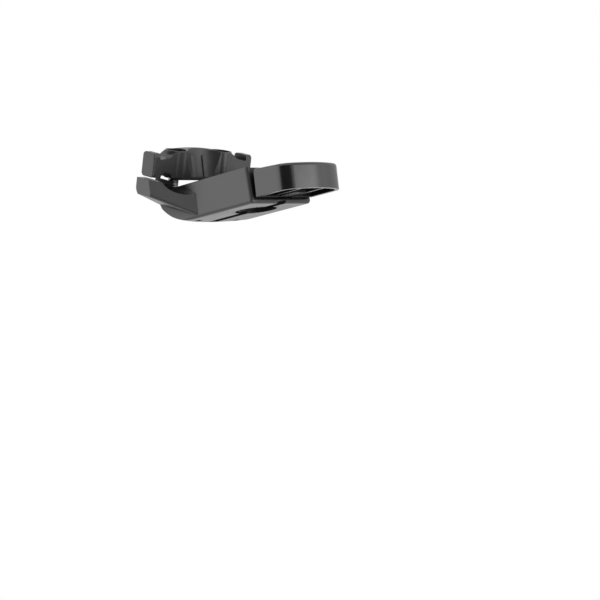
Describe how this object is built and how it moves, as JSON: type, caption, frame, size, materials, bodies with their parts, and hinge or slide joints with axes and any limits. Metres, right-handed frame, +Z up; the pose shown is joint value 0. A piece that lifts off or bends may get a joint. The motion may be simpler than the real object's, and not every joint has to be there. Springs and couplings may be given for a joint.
{
  "type": "saddle bag mount",
  "caption": "Clamp-on saddle bag mount: a cross bar and wings grip both saddle rails, and a socket block with a sprung pull handle takes the bag's stud.",
  "frame": {"origin": "centre of the socket, on the underside of the base body", "axes": "+X to the bike's right, +Y forward, +Z up, with the underside level"},
  "size_m": [0.0604, 0.1, 0.0383],
  "materials": {
    "body_plastic": "satin moulded",
    "bar_plastic": "satin moulded",
    "handle_plastic": "satin moulded",
    "cover_plastic": "fine grain",
    "ring_plastic": "smooth",
    "slide_plastic": "smooth",
    "magnet_plating": "nickel plated",
    "bright_steel": "zinc plated",
    "dark_steel": "black oxide",
    "spring_steel": "bright wire"
  },
  "bodies": {
    "base": {"base_body": "body_plastic", "socket_ring": "ring_plastic", "top_cover": "cover_plastic", "cover_screws": "dark_steel", "holding_magnet": "magnet_plating", "captive_nut_left": "bright_steel", "captive_nut_right": "bright_steel", "spring_pin_left": "dark_steel", "spring_pin_right": "dark_steel", "return_spring_left": "spring_steel", "return_spring_right": "spring_steel"},
    "latch": {"release_handle": "handle_plastic", "latch_slide": "slide_plastic", "handle_screw_front": "dark_steel", "handle_screw_rear": "dark_steel"},
    "clamp": {"upper_clamp_bar": "bar_plastic", "bolt_washer_left": "bright_steel", "bolt_washer_right": "bright_steel"},
    "bolt_left": {"clamp_bolt_left": "bright_steel"},
    "bolt_right": {"clamp_bolt_right": "bright_steel"}
  },
  "joints": [
    {"name": "latch_pull", "type": "slide", "parent": "base", "child": "latch", "axis": [0, -1, 0], "range_m": [0, 0.007], "stiffness_N_per_m": 400, "springref_m": -0.004, "deforming": ["return_spring_left", "return_spring_right"]},
    {"name": "clamp_lift", "type": "slide", "parent": "base", "child": "clamp", "axis": [0, -0.342, 0.9397], "range_m": [0, 0.003]},
    {"name": "bolt_turn_left", "type": "hinge", "parent": "clamp", "child": "bolt_left", "pos_m": [-0.0137, 0.0425, 0.023], "axis": [0, -0.342, 0.9397], "continuous": true},
    {"name": "bolt_turn_right", "type": "hinge", "parent": "clamp", "child": "bolt_right", "pos_m": [0.0137, 0.0425, 0.023], "axis": [0, -0.342, 0.9397], "continuous": true}
  ]
}
